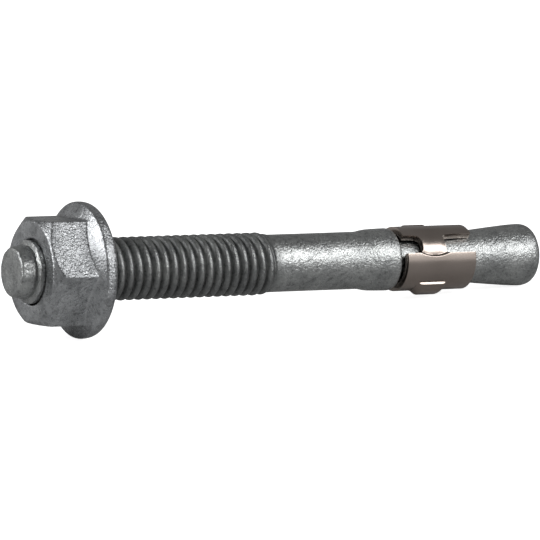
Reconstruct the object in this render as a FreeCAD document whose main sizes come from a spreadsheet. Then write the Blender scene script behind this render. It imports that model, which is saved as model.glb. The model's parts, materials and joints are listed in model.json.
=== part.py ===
import FreeCAD, Part
import os
import Sketcher

# A wedge anchor of thread size M8 and length 75 mm, lying on its nut's flange and on its cone.
# Each sub-part is modelled upright, with its axis on Z and the threaded tip at height zero.
# Its placement then lays it down, with the tip towards -X and the cone towards +X.

doc = FreeCAD.newDocument("WedgeAnchor")
sizes = doc.addObject("Spreadsheet::Sheet", "Sizes")

# The bolt, in millimetres. Heights are measured from the tip.
sizes.set("B1", "75")
sizes.setAlias("B1", "bolt_length")  # from the tip to the end of the cone
sizes.set("B2", "4")
sizes.setAlias("B2", "thread_radius")  # half of the thread's outside diameter
sizes.set("B3", "1.25")
sizes.setAlias("B3", "thread_pitch")  # one turn of the thread
sizes.set("B4", "3.1")
sizes.setAlias("B4", "tip_radius")  # radius of the flat tip
sizes.set("B5", "0.15")
sizes.setAlias("B5", "tip_edge")  # small bevel round the tip
sizes.set("B6", "2.05")
sizes.setAlias("B6", "point_length")  # length of the unthreaded point
sizes.set("B7", "0.32")
sizes.setAlias("B7", "point_flare")  # how much wider the point is at its root
sizes.set("B8", "35.4")
sizes.setAlias("B8", "thread_end")  # height of the last full turn
sizes.set("B9", "3.65")
sizes.setAlias("B9", "shank_radius")  # plain shank, as wide as the thread's flanks at mid height
sizes.set("B10", "4")
sizes.setAlias("B10", "collar_radius")  # widest radius of the collar
sizes.set("B11", "4.55")
sizes.setAlias("B11", "collar_length")  # from where the collar begins to swell to its end face
sizes.set("B12", "1.2")
sizes.setAlias("B12", "collar_slope")  # length of the steep part of the swelling
sizes.set("B13", "0.12")
sizes.setAlias("B13", "collar_flat")  # how much the steep part stops short of the full radius
sizes.set("B14", "15.2")
sizes.setAlias("B14", "cone_length")  # from the cone's wide end to where the neck begins
sizes.set("B15", "0.2")
sizes.setAlias("B15", "collar_edge")  # bevel round that face
sizes.set("B16", "2.8")
sizes.setAlias("B16", "neck_radius")  # the turned-down neck under the clip
sizes.set("B17", "5.95")
sizes.setAlias("B17", "neck_length")  # from the cone to the collar's end face, which the clip sits against
sizes.set("B18", "4")
sizes.setAlias("B18", "cone_radius")  # widest radius of the cone, for a hole of 8 mm
sizes.set("B19", "3.4")
sizes.setAlias("B19", "cone_shoulder")  # from the cone's wide end to where its slope eases
sizes.set("B20", "0.09")
sizes.setAlias("B20", "cone_shoulder_step")  # how much narrower the cone is at that height
sizes.set("B21", "0.8")
sizes.setAlias("B21", "cone_land")  # length of the straight rim at the wide end
sizes.set("B22", "1")
sizes.setAlias("B22", "cone_round")  # rounding between the rim and the end face

# The nut with its flange.
sizes.set("B23", "8")
sizes.setAlias("B23", "nut_height")  # from the front face to the bearing face
sizes.set("B24", "2.65")
sizes.setAlias("B24", "nut_front")  # height of the front face above the tip
sizes.set("B25", "13")
sizes.setAlias("B25", "across_flats")  # wrench size
sizes.set("B26", "25.3")
sizes.setAlias("B26", "hex_turn")  # turn of the first corner about the axis, in degrees
sizes.set("B27", "6.3")
sizes.setAlias("B27", "face_radius")  # flat part of the front face
sizes.set("B28", "1.1")
sizes.setAlias("B28", "corner_bevel")  # depth of the bevel at the corners
sizes.set("B29", "8.55")
sizes.setAlias("B29", "flange_radius")  # outside radius of the flange
sizes.set("B30", "1.35")
sizes.setAlias("B30", "rim_thickness")  # height of the flange's rim
sizes.set("B31", "0.4")
sizes.setAlias("B31", "rim_round")  # rounding of the rim's two edges
sizes.set("B32", "0.625")
sizes.setAlias("B32", "flange_rise")  # slope of the flange's upper side, height for each millimetre inwards
sizes.set("B33", "0.05")
sizes.setAlias("B33", "bore_gap")  # radial play between the thread and the nut
sizes.set("B34", "4.45")
sizes.setAlias("B34", "mouth_radius")  # radius of the bore's two countersinks

# The clip round the neck, folded from sheet.
sizes.set("B35", "0.55")
sizes.setAlias("B35", "clip_play")  # radial play between the neck and the two leaves
sizes.set("B36", "0.85")
sizes.setAlias("B36", "sheet")  # thickness of the sheet
sizes.set("B37", "0.75")
sizes.setAlias("B37", "clip_gap")  # distance between the collar and the clip
sizes.set("B38", "10.2")
sizes.setAlias("B38", "clip_length")  # length of the clip
sizes.set("B39", "232")
sizes.setAlias("B39", "web_turn")  # turn of the middle of the front web about the axis, in degrees
sizes.set("B40", "4.15")
sizes.setAlias("B40", "web_middle")  # height of the webs' middle above the clip's lower end
sizes.set("B41", "0.25")
sizes.setAlias("B41", "web_play")  # radial play between the webs and the neck
sizes.set("B42", "6")
sizes.setAlias("B42", "dish_radius")  # radius of the round hollow that presses each web inwards
sizes.set("B43", "2.5")
sizes.setAlias("B43", "notch_depth")  # depth of the notch at the collar's end
sizes.set("B44", "2.55")
sizes.setAlias("B44", "notch_width")  # width of that notch
sizes.set("B45", "0.9")
sizes.setAlias("B45", "notch_round")  # rounding of the notch's inner corners
sizes.set("B46", "4.4")
sizes.setAlias("B46", "slot_depth")  # depth of the slot at the cone's end
sizes.set("B47", "2.9")
sizes.setAlias("B47", "slot_width")  # width of that slot
sizes.set("B48", "0.5")
sizes.setAlias("B48", "slot_round")  # rounding of the slot's inner corners
sizes.set("B49", "0.4")
sizes.setAlias("B49", "seam_gap")  # gap where the sheet's two ends meet
sizes.set("B50", "0.62")
sizes.setAlias("B50", "bump_height")  # how far each bump stands out of its leaf
sizes.set("B51", "2.2")
sizes.setAlias("B51", "bump_start")  # height of the bumps above the clip's lower end
sizes.set("B52", "0.45")
sizes.setAlias("B52", "bump_rise")  # length of a bump's steep end
sizes.set("B53", "3.2")
sizes.setAlias("B53", "bump_top")  # length of a bump's flat top
sizes.set("B54", "0.75")
sizes.setAlias("B54", "bump_fall")  # length of a bump's gentle end
sizes.set("B55", "43")
sizes.setAlias("B55", "bump_sweep")  # width of a bump about the axis, in degrees
sizes.set("B56", "71.5")
sizes.setAlias("B56", "bump_one_turn")  # turn from the front web to the first bump, in degrees
sizes.set("B57", "227.5")
sizes.setAlias("B57", "bump_two_turn")  # turn from the front web to the second bump, in degrees
sizes.set("B58", "6")
sizes.setAlias("B58", "hollow_margin")  # the hollow's margin at each side of a bump, in degrees
doc.recompute()


def value(text):
    """The number that an expression on the sheet gives."""
    found = sizes.evalExpression(text)
    return float(getattr(found, "Value", found))


def plane_of(body, role):
    """One of the body's own origin planes."""
    return [item for item in body.Origin.OriginFeatures if item.Role == role][0]


def new_sketch(body, name, role):
    """A sketch that lies on one of the body's origin planes."""
    sketch = body.newObject("Sketcher::SketchObject", name)
    sketch.AttachmentSupport = [(plane_of(body, role), "")]
    sketch.MapMode = "FlatFace"
    return sketch


def pin_down(sketch, line, across, along):
    """Ties the start of a line to two expressions, one for each sketch axis."""
    for kind, text, axis in (("DistanceX", across, -2), ("DistanceY", along, -1)):
        if text == "0":
            sketch.addConstraint(Sketcher.Constraint("PointOnObject", line, 1, axis))
            continue
        made = sketch.addConstraint(Sketcher.Constraint(kind, -1, 1, line, 1, value(text)))
        sketch.setExpression("Constraints[" + str(made) + "]", text)


def closed_outline(sketch, corners):
    """A closed chain of straight lines through corners, each given by two expressions."""
    places = []
    for across, along in corners:
        places.append(FreeCAD.Vector(value(across), value(along), 0))
    count = len(places)
    for index in range(count):
        segment = Part.LineSegment(places[index], places[(index + 1) % count])
        sketch.addGeometry(segment, False)
    for index in range(count):
        join = Sketcher.Constraint("Coincident", index, 2, (index + 1) % count, 1)
        sketch.addConstraint(join)
    for index in range(count):
        pin_down(sketch, index, corners[index][0], corners[index][1])
    doc.recompute()


def turned(body, kind, name, corners):
    """A feature made by turning an outline about the body's Z axis."""
    sketch = new_sketch(body, name + "_outline", "YZ_Plane")
    closed_outline(sketch, corners)
    feature = body.newObject(kind, name)
    feature.Profile = sketch
    feature.ReferenceAxis = (sketch, ["V_Axis"])
    feature.Angle = 360.0
    sketch.Visibility = False
    doc.recompute()
    return feature


def round_edges(body, base, name, radius, wanted):
    """Rounds the circular edges that lie at the wanted radii and heights."""
    names = []
    for index, edge in enumerate(base.Shape.Edges):
        curve = edge.Curve
        if not hasattr(curve, "Radius"):
            continue
        for ring_radius, ring_height in wanted:
            off_radius = abs(curve.Radius - value(ring_radius))
            off_height = abs(curve.Center.z - value(ring_height))
            if off_radius < 0.001 and off_height < 0.001:
                names.append("Edge" + str(index + 1))
    if len(names) != len(wanted):
        raise RuntimeError(name + " found " + str(len(names)) + " edges")
    feature = body.newObject("PartDesign::Fillet", name)
    feature.Base = (base, names)
    feature.setExpression("Radius", radius)
    doc.recompute()
    return feature


# The bolt: flat point, thread, plain shank, swollen collar, neck and cone, in one piece.
bolt = doc.addObject("PartDesign::Body", "anchor_bolt")
bolt.Label = "anchor_bolt"
cone_start = "Sizes.bolt_length - Sizes.cone_length"
collar_end = cone_start + " - Sizes.neck_length"
collar_start = collar_end + " - Sizes.collar_length"
bolt_outline = [
    ("0", "0"),
    ("Sizes.tip_radius - Sizes.tip_edge", "0"),
    ("Sizes.tip_radius", "Sizes.tip_edge"),
    ("Sizes.tip_radius + Sizes.point_flare", "Sizes.point_length"),
    ("Sizes.thread_radius", "Sizes.point_length + Sizes.thread_pitch / 2"),
    ("Sizes.thread_radius", "Sizes.thread_end"),
    ("Sizes.shank_radius", "Sizes.thread_end + 0.6 * Sizes.thread_pitch"),
    ("Sizes.shank_radius", collar_start),
    ("Sizes.collar_radius - Sizes.collar_flat", collar_start + " + Sizes.collar_slope"),
    ("Sizes.collar_radius", collar_end + " - 3 * Sizes.collar_edge"),
    ("Sizes.collar_radius", collar_end + " - Sizes.collar_edge"),
    ("Sizes.collar_radius - Sizes.collar_edge", collar_end),
    ("Sizes.neck_radius", collar_end),
    ("Sizes.neck_radius", cone_start),
    ("Sizes.cone_radius - Sizes.cone_shoulder_step", "Sizes.bolt_length - Sizes.cone_shoulder"),
    ("Sizes.cone_radius", "Sizes.bolt_length - Sizes.cone_round - Sizes.cone_land"),
    ("Sizes.cone_radius", "Sizes.bolt_length"),
    ("0", "Sizes.bolt_length"),
]
bolt_turned = turned(bolt, "PartDesign::Revolution", "bolt_turned", bolt_outline)
cone_rim = [("Sizes.cone_radius", "Sizes.bolt_length")]
cone_rounded = round_edges(bolt, bolt_turned, "cone_rounded", "Sizes.cone_round", cone_rim)
bolt.Tip = cone_rounded

# The nut: a hexagon on a flange that is part of it, with a bore that runs on the thread.
nut = doc.addObject("PartDesign::Body", "flange_nut")
nut.Label = "flange_nut"
nut_back = "Sizes.nut_front + Sizes.nut_height"
rim_front = nut_back + " - Sizes.rim_thickness"
hub_radius = "Sizes.across_flats / 2"
hub_front = rim_front + " - (Sizes.flange_radius - " + hub_radius + ") * Sizes.flange_rise"
flange_outline = [
    ("0", nut_back),
    ("Sizes.flange_radius", nut_back),
    ("Sizes.flange_radius", rim_front),
    (hub_radius, hub_front),
    ("0", hub_front),
]
flange_turned = turned(nut, "PartDesign::Revolution", "flange_turned", flange_outline)
rim_edges = [
    ("Sizes.flange_radius", nut_back),
    ("Sizes.flange_radius", rim_front),
]
rim_rounded = round_edges(nut, flange_turned, "rim_rounded", "Sizes.rim_round", rim_edges)
nut.Tip = rim_rounded

hexagon = nut.newObject("PartDesign::AdditivePrism", "hexagon")
hexagon.Polygon = 6
hexagon.setExpression("Circumradius", "Sizes.across_flats / sqrt(3)")
hexagon.setExpression("Height", nut_back + " - Sizes.rim_round - Sizes.nut_front")
hexagon.setExpression("Placement.Base.z", "Sizes.nut_front")
hexagon.setExpression("Placement.Rotation.Angle", "Sizes.hex_turn")
hexagon.Placement = FreeCAD.Placement(
    FreeCAD.Vector(0, 0, value("Sizes.nut_front")),
    FreeCAD.Rotation(FreeCAD.Vector(0, 0, 1), value("Sizes.hex_turn")),
)
doc.recompute()
nut.Tip = hexagon

corner_radius = "Sizes.across_flats / sqrt(3)"
bevel_outline = [
    ("Sizes.face_radius", "Sizes.nut_front"),
    ("Sizes.face_radius", "Sizes.nut_front - 1"),
    (corner_radius + " + 1", "Sizes.nut_front - 1"),
    (corner_radius + " + 1", "Sizes.nut_front + Sizes.corner_bevel"),
    (corner_radius, "Sizes.nut_front + Sizes.corner_bevel"),
]
corners_bevelled = turned(nut, "PartDesign::Groove", "corners_bevelled", bevel_outline)

bore_radius = "Sizes.thread_radius + Sizes.bore_gap"
mouth_depth = "Sizes.mouth_radius - (" + bore_radius + ")"
bore_outline = [
    ("0", "Sizes.nut_front"),
    ("Sizes.mouth_radius", "Sizes.nut_front"),
    (bore_radius, "Sizes.nut_front + " + mouth_depth),
    (bore_radius, nut_back + " - (" + mouth_depth + ")"),
    ("Sizes.mouth_radius", nut_back),
    ("0", nut_back),
]
bored = turned(nut, "PartDesign::Groove", "bored", bore_outline)
nut.Tip = bored

# The clip: one sheet folded round the neck into two leaves, with its seam at the far web.
# Each web is dished inwards onto the neck, between a notch and a slot.
clip_low = collar_end + " + Sizes.clip_gap"
leaf_inner = "(Sizes.neck_radius + Sizes.clip_play)"
leaf_outer = "(" + leaf_inner + " + Sizes.sheet)"
dish_away = "Sizes.neck_radius + Sizes.web_play + Sizes.sheet + Sizes.dish_radius"
web_height = clip_low + " + Sizes.web_middle"


def solid(kind, name, **expressions):
    """A plain solid, each of whose sizes is tied to an expression."""
    made = doc.addObject(kind, name)
    for key in expressions:
        made.setExpression(key, expressions[key])
    made.Visibility = False
    return made


def stand(made, height, turn="0", out="0", side="0"):
    """Puts a solid at a height, turned about the axis, with its origin out and to the side."""
    x_text = "cos(" + turn + ") * (" + out + ") - sin(" + turn + ") * (" + side + ")"
    y_text = "sin(" + turn + ") * (" + out + ") + cos(" + turn + ") * (" + side + ")"
    made.setExpression("Placement.Base.x", x_text)
    made.setExpression("Placement.Base.y", y_text)
    made.setExpression("Placement.Base.z", height)
    made.setExpression("Placement.Rotation.Angle", turn)
    spot = FreeCAD.Vector(0, 0, value(height))
    made.Placement = FreeCAD.Placement(spot, FreeCAD.Rotation(FreeCAD.Vector(0, 0, 1), 1))
    return made


def joined(name, shapes):
    """Several solids as one."""
    made = doc.addObject("Part::MultiFuse", name)
    made.Shapes = shapes
    made.Refine = True
    made.Visibility = False
    return made


def less(name, base, tool):
    """One solid less another."""
    made = doc.addObject("Part::Cut", name)
    made.Base = base
    made.Tool = tool
    made.Visibility = False
    return made


def shared(name, first, second):
    """What two solids have in common."""
    made = doc.addObject("Part::MultiCommon", name)
    made.Shapes = [first, second]
    made.Visibility = False
    return made


leaves_outside = solid(
    "Part::Cylinder", "leaves_outside", Radius=leaf_outer, Height="Sizes.clip_length"
)
stand(leaves_outside, clip_low)
leaves_inside = solid(
    "Part::Cylinder", "leaves_inside", Radius=leaf_inner, Height="Sizes.clip_length"
)
stand(leaves_inside, clip_low)
sleeve = less("sleeve", leaves_outside, leaves_inside)

front_web = "Sizes.web_turn"
back_web = "Sizes.web_turn + 180"
ball_out = "Sizes.dish_radius + Sizes.sheet"

# Inside each web the sheet bulges towards the neck by as much as it is dished outside.
bulge_front = solid("Part::Sphere", "bulge_front", Radius=ball_out)
stand(bulge_front, web_height, front_web, dish_away)
bulge_back = solid("Part::Sphere", "bulge_back", Radius=ball_out)
stand(bulge_back, web_height, back_web, dish_away)
bulges = joined("bulges", [bulge_front, bulge_back])
bulge_reach = leaf_inner + " + Sizes.sheet / 2"
bulge_room = solid(
    "Part::Cylinder", "bulge_room", Radius=bulge_reach, Height="Sizes.clip_length"
)
stand(bulge_room, clip_low)
bulged = shared("bulged", bulges, bulge_room)
dish_front = solid("Part::Sphere", "dish_front", Radius="Sizes.dish_radius")
stand(dish_front, web_height, front_web, dish_away)
dish_back = solid("Part::Sphere", "dish_back", Radius="Sizes.dish_radius")
stand(dish_back, web_height, back_web, dish_away)

# Each bump is a flat-topped patch with a steep end, a gentle end and a hollow behind it.
bump_radius = leaf_outer + " + Sizes.bump_height"
bump_low = clip_low + " + Sizes.bump_start"
bump_whole = "Sizes.bump_rise + Sizes.bump_top + Sizes.bump_fall"
bump_room = solid(
    "Part::Cylinder", "bump_room", Radius=bulge_reach, Height="Sizes.clip_length"
)
stand(bump_room, clip_low)


def bump(number, turn):
    """One bump, from the middle of the sheet outwards."""
    rise = solid(
        "Part::Cone", "bump_rise_" + number, Radius1=leaf_outer, Radius2=bump_radius,
        Height="Sizes.bump_rise", Angle="Sizes.bump_sweep",
    )
    stand(rise, bump_low, turn)
    top = solid(
        "Part::Cylinder", "bump_top_" + number, Radius=bump_radius,
        Height="Sizes.bump_top", Angle="Sizes.bump_sweep",
    )
    stand(top, bump_low + " + Sizes.bump_rise", turn)
    fall = solid(
        "Part::Cone", "bump_fall_" + number, Radius1=bump_radius, Radius2=leaf_outer,
        Height="Sizes.bump_fall", Angle="Sizes.bump_sweep",
    )
    stand(fall, bump_low + " + Sizes.bump_rise + Sizes.bump_top", turn)
    whole = joined("bump_whole_" + number, [rise, top, fall])
    return less("bump_" + number, whole, bump_room)


bump_one = bump("one", "Sizes.web_turn + Sizes.bump_one_turn")
bump_two = bump("two", "Sizes.web_turn + Sizes.bump_two_turn")


def hollow(number, turn):
    """The hollow behind one bump, as deep as the bump is high."""
    inset = "Sizes.bump_rise"
    made = solid(
        "Part::Cylinder", "hollow_" + number, Radius=leaf_inner + " + Sizes.bump_height",
        Height=bump_whole + " - 2 * " + inset, Angle="Sizes.bump_sweep - 2 * Sizes.hollow_margin",
    )
    stand(made, bump_low + " + " + inset, turn + " + Sizes.hollow_margin")
    return made


hollow_one = hollow("one", "Sizes.web_turn + Sizes.bump_one_turn")
hollow_two = hollow("two", "Sizes.web_turn + Sizes.bump_two_turn")


def opening(name, turn, low, depth, width, corner, upwards):
    """A radial opening through one side of the sleeve, with round inner corners."""
    half = "(" + width + ") / 2"
    body_low = low + " - 1" if upwards else low + " + " + corner
    middle = solid(
        "Part::Box", name + "_middle", Length=leaf_outer + " * 2",
        Width=width + " - 2 * " + corner, Height=depth + " + 1",
    )
    stand(middle, low + " - 1" if upwards else low, turn, "0", "-(" + half + ") + " + corner)
    wide = solid(
        "Part::Box", name + "_wide", Length=leaf_outer + " * 2",
        Width=width, Height=depth + " + 1 - " + corner,
    )
    stand(wide, body_low, turn, "0", "-(" + half + ")")
    corner_height = low + " + " + depth + " - " + corner if upwards else low + " + " + corner
    rounds = []
    for tag, side in (("_left", "-(" + half + ") + " + corner), ("_right", half + " - " + corner)):
        made = solid("Part::Cylinder", name + tag, Radius=corner, Height=leaf_outer + " * 2")
        # the round corner's own axis points outwards, across the bolt's axis
        x_text = "-sin(" + turn + ") * (" + side + ")"
        y_text = "cos(" + turn + ") * (" + side + ")"
        out = FreeCAD.Rotation(FreeCAD.Vector(0, 0, 1), FreeCAD.Vector(1, 0, 0))
        spin = FreeCAD.Rotation(FreeCAD.Vector(0, 0, 1), value(turn))
        spot = FreeCAD.Vector(0, 0, value(corner_height))
        made.Placement = FreeCAD.Placement(spot, spin.multiply(out))
        made.setExpression("Placement.Base.x", x_text)
        made.setExpression("Placement.Base.y", y_text)
        made.setExpression("Placement.Base.z", corner_height)
        rounds.append(made)
    return joined(name, [middle, wide] + rounds)


slot_low = clip_low + " + Sizes.clip_length - Sizes.slot_depth"
notch_front = opening(
    "notch_front", front_web, clip_low, "Sizes.notch_depth", "Sizes.notch_width", "Sizes.notch_round", True
)
notch_back = opening(
    "notch_back", back_web, clip_low, "Sizes.notch_depth", "Sizes.notch_width", "Sizes.notch_round", True
)
slot_front = opening(
    "slot_front", front_web, slot_low, "Sizes.slot_depth", "Sizes.slot_width", "Sizes.slot_round", False
)
slot_back = opening(
    "slot_back", back_web, slot_low, "Sizes.slot_depth", "Sizes.slot_width", "Sizes.slot_round", False
)
seam = solid(
    "Part::Box", "seam", Length=leaf_outer + " * 2",
    Width="Sizes.seam_gap", Height="Sizes.clip_length + 2",
)
stand(seam, clip_low + " - 1", back_web, "0", "-Sizes.seam_gap / 2")

sheet_whole = joined("sheet_whole", [sleeve, bulged, bump_one, bump_two])
openings = joined(
    "openings",
    [dish_front, dish_back, notch_front, notch_back, slot_front, slot_back, seam, hollow_one, hollow_two],
)
clip = less("expansion_clip", sheet_whole, openings)
clip.Label = "expansion_clip"
clip.Refine = True
doc.recompute()

# The anchor lies on the flange's rim and on the cone's rim. The axis leans down to the cone by
# the angle of the line that touches both roundings from below.
rim_far = nut_back + " - Sizes.rim_round"
run = "(Sizes.bolt_length - Sizes.cone_round - (" + rim_far + "))"
drop = "(Sizes.flange_radius - Sizes.rim_round - Sizes.cone_radius + Sizes.cone_round)"
apart = "sqrt(" + run + "^2 + " + drop + "^2)"
tilt_of_middles = "atan(" + drop + " / " + run + ")"
tilt_of_rounds = "asin((Sizes.cone_round - Sizes.rim_round) / " + apart + ")"
lean = "(" + tilt_of_middles + " - " + tilt_of_rounds + ")"
rim_below = "(Sizes.flange_radius - Sizes.rim_round) * cos(" + lean + ")"
axis_rise = "(" + rim_far + ") * sin(" + lean + ") + " + rim_below + " + Sizes.rim_round"

# The box round the whole anchor reaches from the tip's upper edge to the cone's end.
low_end = "-(Sizes.tip_radius - Sizes.tip_edge) * sin(" + lean + ")"
cone_reach = "(Sizes.bolt_length - Sizes.cone_round) * cos(" + lean + ")"
cone_drop = "(Sizes.cone_radius - Sizes.cone_round) * sin(" + lean + ")"
high_end = "(" + cone_reach + " + " + cone_drop + " + Sizes.cone_round)"
middle = "(" + low_end + " + " + high_end + ") / 2"

for piece in (bolt, nut, clip):
    across = FreeCAD.Rotation(FreeCAD.Vector(0, 1, 0), 90 + value(lean))
    piece.Placement = FreeCAD.Placement(FreeCAD.Vector(-value(middle), 0, value(axis_rise)), across)
    piece.setExpression("Placement.Base.x", "-(" + middle + ")")
    piece.setExpression("Placement.Base.z", axis_rise)
    piece.setExpression("Placement.Rotation.Angle", "90 deg + " + lean)
doc.recompute()

for item in doc.Objects:
    for trouble in ("Invalid", "Error"):
        if trouble in item.State:
            raise RuntimeError(item.Name + " is in state " + trouble)

os.makedirs("parts", exist_ok=True)
for piece in (bolt, nut, clip):
    shape = piece.Shape
    if shape.isNull() or not shape.isValid():
        raise RuntimeError(piece.Label + " has no sound shape")
    if len(shape.Solids) != 1:
        raise RuntimeError(piece.Label + " has " + str(len(shape.Solids)) + " solids")
    shape.exportStep("parts/" + piece.Label + ".step")
    box = shape.BoundBox
    low = [round(box.XMin, 3), round(box.YMin, 3), round(box.ZMin, 3)]
    high = [round(box.XMax, 3), round(box.YMax, 3), round(box.ZMax, 3)]
    print(piece.Label, "volume", round(shape.Volume, 2), "from", low, "to", high)
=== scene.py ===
import json
import math

import bpy
from mathutils import Matrix, Vector


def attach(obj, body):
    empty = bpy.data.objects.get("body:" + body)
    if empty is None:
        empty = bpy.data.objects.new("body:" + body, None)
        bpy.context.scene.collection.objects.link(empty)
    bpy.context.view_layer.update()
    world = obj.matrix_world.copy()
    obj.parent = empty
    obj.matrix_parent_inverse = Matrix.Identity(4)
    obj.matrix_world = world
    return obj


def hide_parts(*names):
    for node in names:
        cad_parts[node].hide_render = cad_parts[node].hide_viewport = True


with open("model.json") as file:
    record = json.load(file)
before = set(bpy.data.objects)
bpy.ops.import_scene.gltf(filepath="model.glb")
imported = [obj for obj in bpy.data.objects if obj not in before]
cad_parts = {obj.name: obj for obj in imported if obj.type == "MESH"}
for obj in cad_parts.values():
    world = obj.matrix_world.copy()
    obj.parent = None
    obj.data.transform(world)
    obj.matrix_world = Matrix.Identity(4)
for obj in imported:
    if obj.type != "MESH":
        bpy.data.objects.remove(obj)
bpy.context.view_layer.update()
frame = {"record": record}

# The bolt: one steel bar, turned and cold-formed, hot-dip galvanised after the thread was rolled.
# From the tip it has a flat point, a rounded thread thick with zinc, a plain shank, a swollen
# collar, a thin neck for the clip and the cone that spreads it. Every other piece sits on it.
MM = 0.001
joints = {joint["name"]: joint for joint in frame["record"]["behaviour"]["joints"]}
along = Vector(joints["clip_turn"]["axis"]).normalized()
sideways = Vector((0, 1, 0))
underside = sideways.cross(along)
clip_hinge_height = 58.75 * MM
tip = Vector(joints["clip_turn"]["pos_m"]) - along * clip_hinge_height
lying = Matrix((
    (underside.x, sideways.x, along.x, tip.x),
    (underside.y, sideways.y, along.y, tip.y),
    (underside.z, sideways.z, along.z, tip.z),
    (0, 0, 0, 1),
))


def lay_down(piece):
    """Moves an upright piece, with its tip at the origin, to where the anchor lies."""
    piece.data.transform(lying)
    piece.matrix_world = Matrix.Identity(4)


def only(piece):
    """Makes this the one selected and active object."""
    bpy.ops.object.select_all(action="DESELECT")
    piece.select_set(True)
    bpy.context.view_layer.objects.active = piece


def finish_modifier(piece, kind, **settings):
    """Adds a modifier with its settings and applies it."""
    only(piece)
    modifier = piece.modifiers.new(kind.lower(), kind)
    for key in settings:
        setattr(modifier, key, settings[key])
    bpy.ops.object.modifier_apply(modifier=modifier.name)


def pick(piece, wanted):
    """Selects the vertices that wanted() says yes to, and goes to edit mode."""
    only(piece)
    bpy.ops.object.mode_set(mode="EDIT")
    bpy.ops.mesh.select_mode(type="VERT")
    bpy.ops.mesh.select_all(action="DESELECT")
    bpy.ops.object.mode_set(mode="OBJECT")
    for vertex in piece.data.vertices:
        vertex.select = wanted(vertex.co)
    bpy.ops.object.mode_set(mode="EDIT")


def next_ring(ring, height, radius):
    """Extrudes the selected ring to a new height and radius. ring is (height, radius)."""
    step = (0, 0, height * MM - ring[0] * MM)
    bpy.ops.mesh.extrude_region_move(TRANSFORM_OT_translate={"value": step})
    grow = radius / ring[1]
    bpy.ops.transform.resize(value=(grow, grow, 1), center_override=(0, 0, height * MM))
    return height, radius


def smooth_by_angle(piece, degrees):
    """Smooth shading, with the edges sharper than this angle kept."""
    only(piece)
    bpy.ops.object.shade_smooth_by_angle(angle=math.radians(degrees))


thread_pitch = 1.25
thread_crest = 3.985
thread_root = 3.44
thread_start = 2.0
thread_stop = 36.4
point_root = 3.37
ring_radius = 3.95
first_ring = 2.75
ring_rise = 0.2
ring_fall = 0.6
thread_fade = 2.0
shank_radius = 3.65
around = 128
merge_slivers = 0.09


def ease(low, high, place):
    """A smooth step from 0 at low to 1 at high."""
    share = min(max((place - low) / (high - low), 0), 1)
    return share * share * (3 - 2 * share)


bpy.ops.object.select_all(action="DESELECT")
bpy.ops.curve.primitive_bezier_curve_add()
profile = bpy.context.object
profile.name = "galvanised_bolt"
profile.data.resolution_u = 8
points = profile.data.splines[0].bezier_points
points.add(1)
crest_half = 0.33
root_half = 0.09
for point, radius, rise, half in (
    (points[0], thread_root, -0.5, root_half),
    (points[1], thread_crest, 0, crest_half),
    (points[2], thread_root, 0.5, root_half),
):
    point.co = (radius * MM, 0, rise * thread_pitch * MM)
    point.handle_left = point.co - Vector((0, 0, half * thread_pitch * MM))
    point.handle_right = point.co + Vector((0, 0, half * thread_pitch * MM))
bpy.ops.object.convert(target="MESH")
bolt = bpy.context.object
thread_turns = int((thread_stop - thread_start) / thread_pitch) + 4
finish_modifier(
    bolt, "SCREW", screw_offset=thread_pitch * MM, iterations=thread_turns, steps=around,
    render_steps=around, use_merge_vertices=True, merge_threshold=0.002 * MM,
)

# the thread begins in a full ring above the point and runs out into the plain shank
for vertex in bolt.data.vertices:
    vertex.co.z += (thread_start - 1.5 * thread_pitch) * MM
    height = vertex.co.z / MM
    radius = math.hypot(vertex.co.x, vertex.co.y) / MM
    begun = ease(first_ring + 0.1, first_ring + 0.5, height)
    ended = ease(thread_stop - thread_fade, thread_stop, height)
    wanted = point_root + (radius - point_root) * begun
    ringed = ease(thread_start, thread_start + ring_rise, height)
    ringed *= 1 - ease(first_ring, first_ring + ring_fall, height)
    wanted = max(wanted, point_root + (ring_radius - point_root) * ringed)
    wanted += (shank_radius - wanted) * ended
    vertex.co.x *= wanted / radius
    vertex.co.y *= wanted / radius
for height, keep_above in ((thread_start, True), (thread_stop, False)):
    pick(bolt, lambda co: True)
    bpy.ops.mesh.bisect(
        plane_co=(0, 0, height * MM), plane_no=(0, 0, 1), threshold=0.001 * MM,
        clear_inner=keep_above, clear_outer=not keep_above,
    )
    bpy.ops.object.mode_set(mode="OBJECT")

# The point below the thread, closed by its flat tip with a small bevel and a shallow dimple.
pick(bolt, lambda co: co.z < (thread_start + 0.002) * MM)
bpy.ops.mesh.remove_doubles(threshold=merge_slivers * MM)
ring = (thread_start, point_root)
for height, radius in (
    (1.98, 3.20), (1.86, 3.20), (1.74, 3.31), (1.55, 3.33), (0.32, 3.10), (0.20, 3.07), (0.10, 3.0),
    (0.03, 2.88), (0, 2.70),
):
    ring = next_ring(ring, height, radius)
for height, radius in ((0.01, 1.3), (0.06, 0.9), (0.10, 0.4)):
    ring = next_ring(ring, height, radius)
bpy.ops.mesh.merge(type="CENTER")
bpy.ops.object.mode_set(mode="OBJECT")

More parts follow.
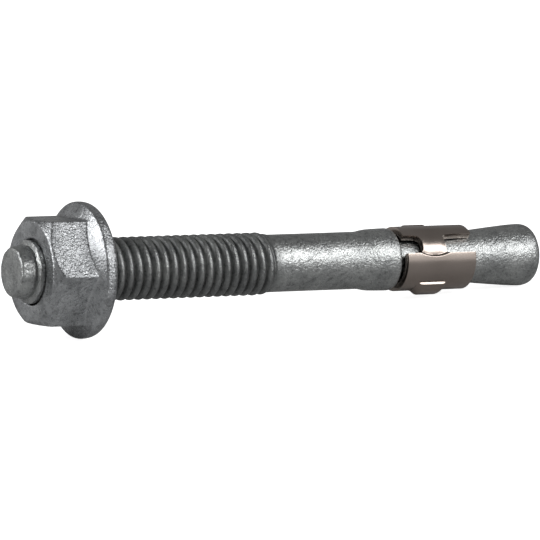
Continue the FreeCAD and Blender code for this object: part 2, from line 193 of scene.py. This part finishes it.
# The plain shank, the collar that swells towards the clip, the neck and the cone.
pick(bolt, lambda co: co.z > (thread_stop - 0.002) * MM)
bpy.ops.mesh.remove_doubles(threshold=merge_slivers * MM)
ring = (thread_stop, shank_radius)
for height, radius in (
    (42.0, 3.65), (48.9, 3.66), (49.3, 3.69), (49.7, 3.77), (50.1, 3.85), (50.6, 3.91), (51.4, 3.95),
    (52.6, 3.98), (53.35, 3.99), (53.62, 3.95), (53.78, 3.86), (53.85, 3.72), (53.85, 2.95),
    (53.93, 2.83), (54.1, 2.8), (59.5, 2.8), (59.8, 2.83), (60.4, 2.88), (64.5, 3.27), (68.5, 3.65),
    (71.3, 3.89), (72.2, 3.95), (73.1, 3.985), (73.6, 3.975), (73.95, 3.92), (74.28, 3.79),
    (74.55, 3.58), (74.76, 3.28), (74.89, 2.92), (74.95, 2.5), (74.96, 1.8), (74.95, 0.6),
):
    ring = next_ring(ring, height, radius)
bpy.ops.mesh.merge(type="CENTER")
bpy.ops.mesh.select_all(action="SELECT")
bpy.ops.mesh.remove_doubles(threshold=0.0005 * MM)
bpy.ops.mesh.normals_make_consistent(inside=False)
bpy.ops.object.mode_set(mode="OBJECT")
smooth_by_angle(bolt, 50)
lay_down(bolt)
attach(bolt, "bolt")
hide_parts("anchor_bolt")


def linear(code):
    """The linear colour of an sRGB hex value."""
    shades = []
    for start in (0, 2, 4):
        share = int(code[start:start + 2], 16) / 255
        shades.append(share / 12.92 if share <= 0.04045 else ((share + 0.055) / 1.055) ** 2.4)
    return (*shades, 1)


def node(tree, kind, settings=None, **links):
    """Adds a node, gives it its settings and socket values, and links its inputs."""
    made = tree.nodes.new(kind)
    for key, value in (settings or {}).items():
        if isinstance(key, str) and hasattr(made, key):
            setattr(made, key, value)
            continue
        if isinstance(key, int):
            made.inputs[key].default_value = value
            continue
        named = [socket for socket in made.inputs if socket.name == key and socket.enabled]
        named[0].default_value = value
    for key, source in links.items():
        name = key.replace("_", " ")
        if name.startswith("input"):
            tree.links.new(source, made.inputs[int(name[5:])])
            continue
        named = [socket for socket in made.inputs if socket.name == name and socket.enabled]
        tree.links.new(source, named[0])
    return made


def galvanised_zinc(name, grain_mm, relief_mm, tones, dullness, end_relief=1.0, darkening_and_shade=None):
    """Hot-dip zinc: mottled grey, with grains that glitter where the light falls and dark pits."""
    material = bpy.data.materials.new(name)
    material.use_nodes = True
    tree = material.node_tree
    tree.nodes.clear()
    here = node(tree, "ShaderNodeTexCoord").outputs["Object"]
    # mottling of about 2.5 mm, grains of the size given, specks of half that and pits of 0.6 mm;
    # real grains are finer, and are drawn this coarse so that they show
    mottle = node(
        tree, "ShaderNodeTexNoise", {"Scale": 1 / (2.5 * MM), "Detail": 5.0, "Roughness": 0.62}, Vector=here
    )
    grains = node(
        tree, "ShaderNodeTexNoise", {"Scale": 1 / (grain_mm * MM), "Detail": 3.0, "Roughness": 0.6},
        Vector=here,
    )
    specks = node(
        tree, "ShaderNodeTexVoronoi", {"Scale": 1 / (0.5 * grain_mm * MM), "Randomness": 1.0}, Vector=here
    )
    pits = node(
        tree, "ShaderNodeTexNoise", {"Scale": 1 / (0.6 * MM), "Detail": 2.0, "Roughness": 0.7}, Vector=here
    )
    tone = node(
        tree, "ShaderNodeMix", {"data_type": "RGBA", "A": linear(tones[0]), "B": linear(tones[1])},
        Factor=node(
            tree, "ShaderNodeMapRange", {"From Min": 0.36, "From Max": 0.64}, Value=mottle.outputs["Fac"]
        ).outputs["Result"],
    )
    dark = node(
        tree, "ShaderNodeMapRange", {"From Min": 0.36, "From Max": 0.47, "To Min": 0.72, "To Max": 1.0},
        Value=pits.outputs["Fac"],
    )
    dust = node(
        tree, "ShaderNodeMapRange", {"From Min": 0.3, "From Max": 0.7, "To Min": 0.84, "To Max": 1.08},
        Value=grains.outputs["Fac"],
    )
    shade = node(
        tree, "ShaderNodeMath", {"operation": "MULTIPLY"},
        input0=dark.outputs["Result"], input1=dust.outputs["Result"],
    )
    # an optional factor darkens the colour and roughens the surface; on the bolt it darkens the thread and
    # paints shade into its roots
    darkening_and_shade_factor = None
    if darkening_and_shade:
        darkening_and_shade_factor = darkening_and_shade(tree, here)
        shade = node(
            tree, "ShaderNodeMath", {"operation": "MULTIPLY"}, input0=shade.outputs["Value"], input1=darkening_and_shade_factor
        )
    colour = node(
        tree, "ShaderNodeVectorMath", {"operation": "SCALE"},
        input0=tone.outputs["Result"], Scale=shade.outputs["Value"],
    )
    dull = node(
        tree, "ShaderNodeMapRange",
        {"From Min": 0.3, "From Max": 0.7, "To Min": dullness[0], "To Max": dullness[1]},
        Value=grains.outputs["Fac"],
    ).outputs["Result"]
    if darkening_and_shade:
        dull = node(
            tree, "ShaderNodeMix", {"data_type": "FLOAT", "A": 0.66}, Factor=darkening_and_shade_factor, B=dull
        ).outputs["Result"]
    lumps = node(
        tree, "ShaderNodeBump", {"Strength": 0.6, "Distance": 0.10 * MM}, Height=mottle.outputs["Fac"]
    )
    # the grains stand less proud on faces that look along the axis, where end_relief is below 1
    slant = node(
        tree, "ShaderNodeVectorMath", {"operation": "DOT_PRODUCT", 1: along},
        input0=node(tree, "ShaderNodeTexCoord").outputs["Normal"],
    )
    steep = node(tree, "ShaderNodeMath", {"operation": "ABSOLUTE"}, input0=slant.outputs["Value"])
    proud = node(
        tree, "ShaderNodeMapRange", {"From Min": 0.2, "From Max": 0.5, "To Min": 1.0, "To Max": end_relief},
        Value=steep.outputs["Value"],
    )
    rough = node(
        tree, "ShaderNodeBump", {"Distance": relief_mm * MM},
        Height=grains.outputs["Fac"], Strength=proud.outputs["Result"], Normal=lumps.outputs["Normal"],
    )
    dimples = node(
        tree, "ShaderNodeBump", {"Strength": 0.7, "Distance": 0.03 * MM},
        Height=specks.outputs["Distance"], Normal=rough.outputs["Normal"],
    )
    shader = node(
        tree, "ShaderNodeBsdfPrincipled", {"Metallic": 1.0},
        Base_Color=colour.outputs["Vector"], Roughness=dull, Normal=dimples.outputs["Normal"],
    )
    surface = node(tree, "ShaderNodeOutputMaterial", Surface=shader.outputs["BSDF"])
    surface.is_active_output = True
    return material


def darker_thread_painted_root_shade(tree, here):
    """A factor of 1 on plain metal, less on the thread and least in its roots, where it paints their shade.
    """
    from_tip = node(tree, "ShaderNodeVectorMath", {"operation": "SUBTRACT", 1: tip}, input0=here)
    height = node(
        tree, "ShaderNodeVectorMath", {"operation": "DOT_PRODUCT", 1: along},
        input0=from_tip.outputs["Vector"],
    )
    on_axis = node(
        tree, "ShaderNodeVectorMath", {"operation": "SCALE", 0: along}, Scale=height.outputs["Value"]
    )
    away = node(
        tree, "ShaderNodeVectorMath", {"operation": "DISTANCE"},
        input0=from_tip.outputs["Vector"], input1=on_axis.outputs["Vector"],
    )
    # the deeper towards the thread's roots, the darker: painted shade in the roots
    depth = node(
        tree, "ShaderNodeMapRange",
        {"From Min": 3.5 * MM, "From Max": 3.95 * MM, "To Min": 0.45, "To Max": 0.68},
        Value=away.outputs["Value"],
    )
    past_thread = node(
        tree, "ShaderNodeMapRange", {"From Min": 34.5 * MM, "From Max": 37.0 * MM},
        Value=height.outputs["Value"],
    )
    before_thread = node(
        tree, "ShaderNodeMapRange", {"From Min": 3.6 * MM, "From Max": 2.9 * MM},
        Value=height.outputs["Value"],
    )
    plain = node(
        tree, "ShaderNodeMath", {"operation": "MAXIMUM"},
        input0=past_thread.outputs["Result"], input1=before_thread.outputs["Result"],
    )
    factor = node(
        tree, "ShaderNodeMix", {"data_type": "FLOAT", "B": 1.0},
        Factor=plain.outputs["Value"], A=depth.outputs["Result"],
    )
    return factor.outputs["Result"]


# fine-grained zinc, darker on the thread, with painted shade in its roots
bolt.data.materials.append(
    galvanised_zinc("galvanised_bolt", 0.34, 0.10, ("9A9C9C", "B9BBBA"), (0.25, 0.39), darkening_and_shade=darker_thread_painted_root_shade)
)

# The nut: a hexagon forged in one piece with its wide flange, hot-dip galvanised like the bolt.
# Zinc has run into its inner corners and rounded every edge; its bore is tapped after dipping.
hexagon_flats = 13.0
nut_front = 2.65
nut_back = 10.65
hexagon_turn = 25.3
flange_radius = 8.54
rim_thickness = 1.70
flange_slope = 0.55
bore_radius = 4.06
mouth_radius = 4.24
bevel_start = 6.27
bevel_drop = 1.12
voxel = 0.115
bpy.ops.object.select_all(action="DESELECT")
corner_radius = hexagon_flats / math.sqrt(3)
rim_front = nut_back - rim_thickness
hub_radius = 6.2
hub_front = rim_front - (flange_radius - hub_radius) * flange_slope
bpy.ops.mesh.primitive_cylinder_add(
    vertices=6, radius=corner_radius * MM, depth=(nut_back - 0.5 - nut_front) * MM,
    location=(0, 0, (nut_back - 0.5 + nut_front) / 2 * MM), rotation=(0, 0, math.radians(hexagon_turn + 30)),
)
nut = bpy.context.object
nut.name = "galvanised_flange_nut"
bpy.ops.object.transform_apply(location=True, rotation=True, scale=True)


def turned_tool(name, outline, sides):
    """A closed solid of revolution through (height, radius) pairs, made by extruding rings."""
    bpy.ops.object.select_all(action="DESELECT")
    first = outline[0]
    bpy.ops.mesh.primitive_circle_add(
        vertices=sides, radius=first[1] * MM, location=(0, 0, first[0] * MM), fill_type="NGON"
    )
    made = bpy.context.object
    made.name = name
    bpy.ops.object.transform_apply(location=True, rotation=True, scale=True)
    pick(made, lambda co: True)
    ring = first
    for height, radius in outline[1:]:
        ring = next_ring(ring, height, radius)
    bpy.ops.mesh.select_all(action="SELECT")
    bpy.ops.mesh.normals_make_consistent(inside=False)
    bpy.ops.object.mode_set(mode="OBJECT")
    return made


def combine(piece, tool, operation):
    """Joins, cuts or shares two solids, and throws the tool away."""
    finish_modifier(piece, "BOOLEAN", object=tool, operation=operation, solver="EXACT")
    bpy.data.objects.remove(tool)


# the front corners are turned off by a shallow cone
bevelling = turned_tool("bevelling", (
    (nut_front, bevel_start), (nut_front + bevel_drop, corner_radius),
    (nut_front + bevel_drop + 0.2, corner_radius + 0.3), (nut_back, corner_radius + 0.3),
), 96)
combine(nut, bevelling, "INTERSECT")
# the flange slopes down to a rim with full, rounded edges
flange = turned_tool("flange", (
    (hub_front, hub_radius), (rim_front - 0.05, flange_radius - 0.28),
    (rim_front + 0.04, flange_radius - 0.12), (rim_front + 0.18, flange_radius - 0.03),
    (rim_front + 0.4, flange_radius),
    (nut_back - 0.8, flange_radius - 0.02), (nut_back - 0.5, flange_radius - 0.09),
    (nut_back - 0.25, flange_radius - 0.22), (nut_back - 0.08, flange_radius - 0.41),
    (nut_back, flange_radius - 0.68),
), 160)
combine(nut, flange, "UNION")
bore = turned_tool("bore", (
    (nut_front - 1, mouth_radius + 1), (nut_front + mouth_radius - bore_radius, bore_radius),
    (nut_back - mouth_radius + bore_radius, bore_radius), (nut_back + 1, mouth_radius + 1),
), 96)
combine(nut, bore, "DIFFERENCE")

# one skin over the whole nut, with every edge softened as the zinc softens it
finish_modifier(nut, "REMESH", mode="VOXEL", voxel_size=voxel * MM, adaptivity=0.0)
finish_modifier(nut, "SMOOTH", factor=0.5, iterations=2)
for vertex in nut.data.vertices:
    radius = math.hypot(vertex.co.x, vertex.co.y)
    if radius < bore_radius * MM:
        vertex.co.x *= bore_radius * MM / radius
        vertex.co.y *= bore_radius * MM / radius
    vertex.co.z = min(max(vertex.co.z, nut_front * MM), nut_back * MM)
smooth_by_angle(nut, 60)
lay_down(nut)
# coarser zinc, with lumps where it ran off
nut.data.materials.append(
    galvanised_zinc("galvanised_nut", 0.34, 0.17, ("9C9EA0", "BEC0C2"), (0.23, 0.37), end_relief=0.35)
)
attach(nut, "nut")
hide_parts("flange_nut")

# The expansion clip: one strip of stainless sheet, 0.85 mm thick, stamped with notches, slots,
# dished webs and two bumps, then rolled round the neck until its ends meet at the back.
clip_low = 54.6
clip_length = 10.05
clip_radius = 4.13
sheet = 0.85
web_angle = 231.5
web_height = 4.15
notch_top = clip_low + 2.54
notch_width = 2.68
slot_low = clip_low + 5.85
slot_width = 2.85
seam_gap = 0.4
columns = 360
rows = 85
bpy.ops.object.select_all(action="DESELECT")
bpy.ops.mesh.primitive_cylinder_add(
    vertices=columns, radius=clip_radius * MM, depth=clip_length * MM, end_fill_type="NOTHING",
    location=(0, 0, (clip_low + clip_length / 2) * MM),
)
clip = bpy.context.object
clip.name = "stainless_expansion_clip"
bpy.ops.object.transform_apply(location=True, rotation=True, scale=True)
for level in range(1, rows):
    pick(clip, lambda co: True)
    cut_height = (clip_low + clip_length * level / rows) * MM
    bpy.ops.mesh.bisect(plane_co=(0, 0, cut_height), plane_no=(0, 0, 1), threshold=0.001 * MM)
    bpy.ops.object.mode_set(mode="OBJECT")
only(clip)
bpy.ops.object.mode_set(mode="EDIT")
bpy.ops.mesh.select_all(action="SELECT")
bpy.ops.mesh.normals_make_consistent(inside=False)
bpy.ops.object.mode_set(mode="OBJECT")
finish_modifier(clip, "SOLIDIFY", thickness=sheet * MM, offset=-1.0)


def punch(name, angle, low, high, width, corner, sides):
    """A rounded tool that stamps one opening through one side of the clip, with radial walls."""
    bpy.ops.object.select_all(action="DESELECT")
    bpy.ops.mesh.primitive_cube_add(size=1, location=(4 * MM, 0, (low + high) / 2 * MM))
    made = bpy.context.object
    made.name = name
    made.scale = (5 * MM, width * MM, (high - low) * MM)
    bpy.ops.object.transform_apply(location=True, rotation=True, scale=True)
    finish_modifier(made, "BEVEL", width=corner * MM, segments=sides, limit_method="ANGLE")
    for corner_point in made.data.vertices:
        corner_point.co.y *= corner_point.co.x / (clip_radius * MM)
    made.data.transform(Matrix.Rotation(math.radians(angle), 4, "Z"))
    return made


for middle in (web_angle, web_angle + 180):
    notch = punch("notch", middle, clip_low - 3, notch_top, notch_width, 0.9, 6)
    combine(clip, notch, "DIFFERENCE")
    slot = punch("slot", middle, slot_low, clip_low + clip_length + 3, slot_width, 0.5, 5)
    combine(clip, slot, "DIFFERENCE")
seam = punch("seam", web_angle + 180, clip_low - 1, clip_low + clip_length + 1, seam_gap, 0.02, 1)
combine(clip, seam, "DIFFERENCE")

# each long cut face is divided along the rows, so that it bends with the sheet
only(clip)
bpy.ops.object.mode_set(mode="EDIT")
bpy.ops.mesh.select_mode(type="FACE")
for level in range(1, rows):
    bpy.ops.mesh.select_all(action="DESELECT")
    bpy.ops.mesh.select_face_by_sides(number=6, type="GREATER", extend=False)
    cut_height = (clip_low + clip_length * level / rows) * MM
    bpy.ops.mesh.bisect(plane_co=(0, 0, cut_height), plane_no=(0, 0, 1), threshold=0.001 * MM)
bpy.ops.object.mode_set(mode="OBJECT")


def turn_between(angle, middle):
    """How far angle lies from middle, in degrees from -180 to 180."""
    return (angle - middle + 180) % 360 - 180


def shoulder(low, high, place):
    """A rise from 0 at low to 1 at high that starts steep and ends in a round shoulder."""
    share = min(max((place - low) / (high - low), 0), 1)
    return 1 - (1 - share) ** 2.5


# The press forms both faces of the sheet at once: two bumps out and two webs in. A bump rises
# from a low and a high end, steps up at one edge and then slopes on, and fades at the other. A
# web sinks from its top to a bowed crease above the lower leaf. Sizes about the axis are degrees.
bump_height = 0.61
bump_low = 2.15
bump_high = 6.4
bump_rise = 0.9
bump_edge = 1.0
bump_slope = 17.0
bump_flat = 33.0
bump_end = 41.0
dish_depth = 0.34
dish_start = 38.0
dish_top = 20.0
dish_rise = 0.55
dish_foot = 18.0
dish_bow = 7.5
dish_bow_reach = 2.3
dish_crease = 4
dish_flat = 1.0
dish_reach = 3.4
for vertex in clip.data.vertices:
    angle = math.degrees(math.atan2(vertex.co.y, vertex.co.x))
    level = vertex.co.z / MM - clip_low
    pressed = 0
    for near_edge, outward, step in ((308.0, 1, 0.45), (146.0, -1, 0.9)):
        off = outward * turn_between(angle, near_edge)
        low_end = shoulder(bump_low, bump_low + bump_rise, level)
        high_end = shoulder(-bump_high, bump_rise - bump_high, -level)
        edge = step * ease(0, bump_edge, off) + (1 - step) * ease(0, bump_slope, off)
        pressed += bump_height * min(low_end, high_end) * edge * (1 - ease(bump_flat, bump_end, off))
    for middle in (web_angle, web_angle + 180):
        off = turn_between(angle, middle)
        foot = dish_foot + dish_bow * max(0, 1 - ((level - web_height) / dish_bow_reach) ** 2)
        crease = foot - dish_crease
        sunk = dish_rise * ease(-dish_start, -dish_top, off)
        sunk += (1 - dish_rise) * min(max((off + dish_top) / (crease + dish_top), 0), 1)
        sunk *= 1 - ease(crease, foot, off)
        pressed -= dish_depth * sunk * (1 - ease(dish_flat, dish_reach, abs(level - web_height)))
    grow = 1 + pressed * MM / math.hypot(vertex.co.x, vertex.co.y)
    vertex.co.x *= grow
    vertex.co.y *= grow
only(clip)
bpy.ops.object.mode_set(mode="EDIT")
bpy.ops.mesh.select_all(action="SELECT")
bpy.ops.mesh.remove_doubles(threshold=0.02 * MM)
bpy.ops.object.mode_set(mode="OBJECT")
finish_modifier(
    clip, "BEVEL", width=0.05 * MM, segments=2, limit_method="ANGLE", angle_limit=math.radians(50)
)
smooth_by_angle(clip, 40)
lay_down(clip)
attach(clip, "clip")
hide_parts("expansion_clip")


def satin_stainless(name):
    """Cold-rolled stainless strip: smooth and satin, warm grey, with soft wide highlights."""
    material = bpy.data.materials.new(name)
    material.use_nodes = True
    tree = material.node_tree
    tree.nodes.clear()
    here = node(tree, "ShaderNodeTexCoord").outputs["Object"]
    # a haze of 4 mm and a grain of 0.3 mm, which is coarser than the real one so that it shows
    haze = node(tree, "ShaderNodeTexNoise", {"Scale": 1 / (4 * MM), "Detail": 3.0}, Vector=here)
    grain = node(tree, "ShaderNodeTexNoise", {"Scale": 1 / (0.3 * MM), "Detail": 2.0}, Vector=here)
    tone = node(
        tree, "ShaderNodeMix", {"data_type": "RGBA", "A": linear("938982"), "B": linear("A59B94")},
        Factor=haze.outputs["Fac"],
    )
    dull = node(
        tree, "ShaderNodeMapRange", {"From Min": 0.3, "From Max": 0.7, "To Min": 0.21, "To Max": 0.28},
        Value=haze.outputs["Fac"],
    )
    skin = node(
        tree, "ShaderNodeBump", {"Strength": 0.25, "Distance": 0.01 * MM}, Height=grain.outputs["Fac"]
    )
    shader = node(
        tree, "ShaderNodeBsdfPrincipled", {"Metallic": 1.0},
        Base_Color=tone.outputs["Result"], Roughness=dull.outputs["Result"], Normal=skin.outputs["Normal"],
    )
    surface = node(tree, "ShaderNodeOutputMaterial", Surface=shader.outputs["BSDF"])
    surface.is_active_output = True
    return material


clip.data.materials.append(satin_stainless("stainless_clip"))

# The studio: a plain pale floor that fades to white, a long soft lamp above the camera's right
# shoulder, one beyond the tip, two weak ones in front and behind, and a dim room all round.
bpy.ops.object.select_all(action="DESELECT")
bpy.ops.mesh.primitive_plane_add(size=4, location=(0, 0, 0))
floor = bpy.context.object
floor.name = "studio_floor"
paper = bpy.data.materials.new("studio_paper")
paper.use_nodes = True
tree = paper.node_tree
tree.nodes.clear()
path = node(tree, "ShaderNodeLightPath")
matt = node(tree, "ShaderNodeBsdfDiffuse", {"Color": linear("C4C4C4")})
pale = node(tree, "ShaderNodeBsdfDiffuse", {"Color": linear("F4F4F4")})
glow = node(tree, "ShaderNodeEmission", {"Color": (1, 1, 1, 1), "Strength": 0.86})
lit = node(tree, "ShaderNodeAddShader", input0=pale.outputs["BSDF"], input1=glow.outputs["Emission"])
seen = node(
    tree, "ShaderNodeMixShader", Fac=path.outputs["Is Camera Ray"],
    input1=matt.outputs["BSDF"], input2=lit.outputs["Shader"],
)
node(tree, "ShaderNodeOutputMaterial", Surface=seen.outputs["Shader"])
floor.data.materials.append(paper)

world = bpy.data.worlds.new("studio_room")
bpy.context.scene.world = world
world.use_nodes = True
tree = world.node_tree
tree.nodes.clear()
path = node(tree, "ShaderNodeLightPath")
room = node(tree, "ShaderNodeBackground", {"Color": (1, 1, 1, 1), "Strength": 0.24})
white = node(tree, "ShaderNodeBackground", {"Color": (1, 1, 1, 1), "Strength": 1.0})
seen = node(
    tree, "ShaderNodeMixShader", Fac=path.outputs["Is Camera Ray"],
    input1=room.outputs["Background"], input2=white.outputs["Background"],
)
node(tree, "ShaderNodeOutputWorld", Surface=seen.outputs["Shader"])


def softbox(name, place, size, size_y, power):
    """A soft rectangular lamp that points at the anchor."""
    bpy.ops.object.light_add(type="AREA", location=place)
    lamp = bpy.context.object
    lamp.name = name
    lamp.data.shape = "RECTANGLE"
    lamp.data.size = size
    lamp.data.size_y = size_y
    lamp.data.energy = power
    lamp.rotation_euler = Vector(place).to_track_quat("Z", "Y").to_euler()


softbox("key_lamp", (0.265, -0.36, 0.278), 0.50, 0.19, 1.57)
softbox("front_fill", (0.34, -0.60, 0.15), 0.46, 0.36, 0.48)
softbox("tip_lamp", (-0.475, 0.15, 0.25), 0.22, 0.32, 1.28)
softbox("back_fill", (-0.36, 0.62, 0.10), 0.40, 0.20, 0.1)

# The camera looks a little down on the anchor from its tip end, through a long lens.
camera_place = Vector((-0.338343, -0.604735, 0.153180))
camera_look = Vector((0.476607, 0.854112, -0.20817))
camera_data = bpy.data.cameras.new("photograph_view")
camera = bpy.data.objects.new("photograph_view", camera_data)
bpy.context.scene.collection.objects.link(camera)
camera.location = camera_place
camera.rotation_euler = camera_look.to_track_quat("-Z", "Y").to_euler()
camera_data.sensor_width = 36
camera_data.lens = 373.25
camera_data.clip_start = 0.05
camera_data.clip_end = 10
bpy.context.scene.camera = camera
bpy.context.scene.view_settings.view_transform = "Standard"
